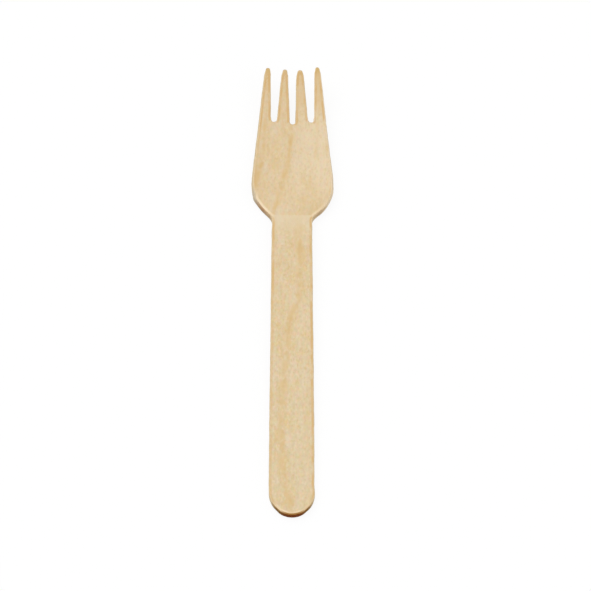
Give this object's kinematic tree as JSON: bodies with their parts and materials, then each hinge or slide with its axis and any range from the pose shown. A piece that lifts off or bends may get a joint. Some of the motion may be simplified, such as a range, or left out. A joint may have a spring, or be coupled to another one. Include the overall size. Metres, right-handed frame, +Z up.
{
  "type": "wooden fork",
  "caption": "Disposable wooden fork with a flat round-ended handle, sloping shoulders, a shallow pressed bowl and tapered tines.",
  "frame": {"origin": "centre of the fork's footprint, on the surface that it lies on", "axes": "+Y along the fork from the handle end to the tine tips, +X to the right as seen from the handle with the hollow side up, +Z up"},
  "size_m": [0.0264, 0.1602, 0.0072],
  "materials": {
    "birch": "bare, unvarnished, lightly polished by tumbling"
  },
  "bodies": {
    "root": {"fork": "birch"}
  },
  "joints": []
}
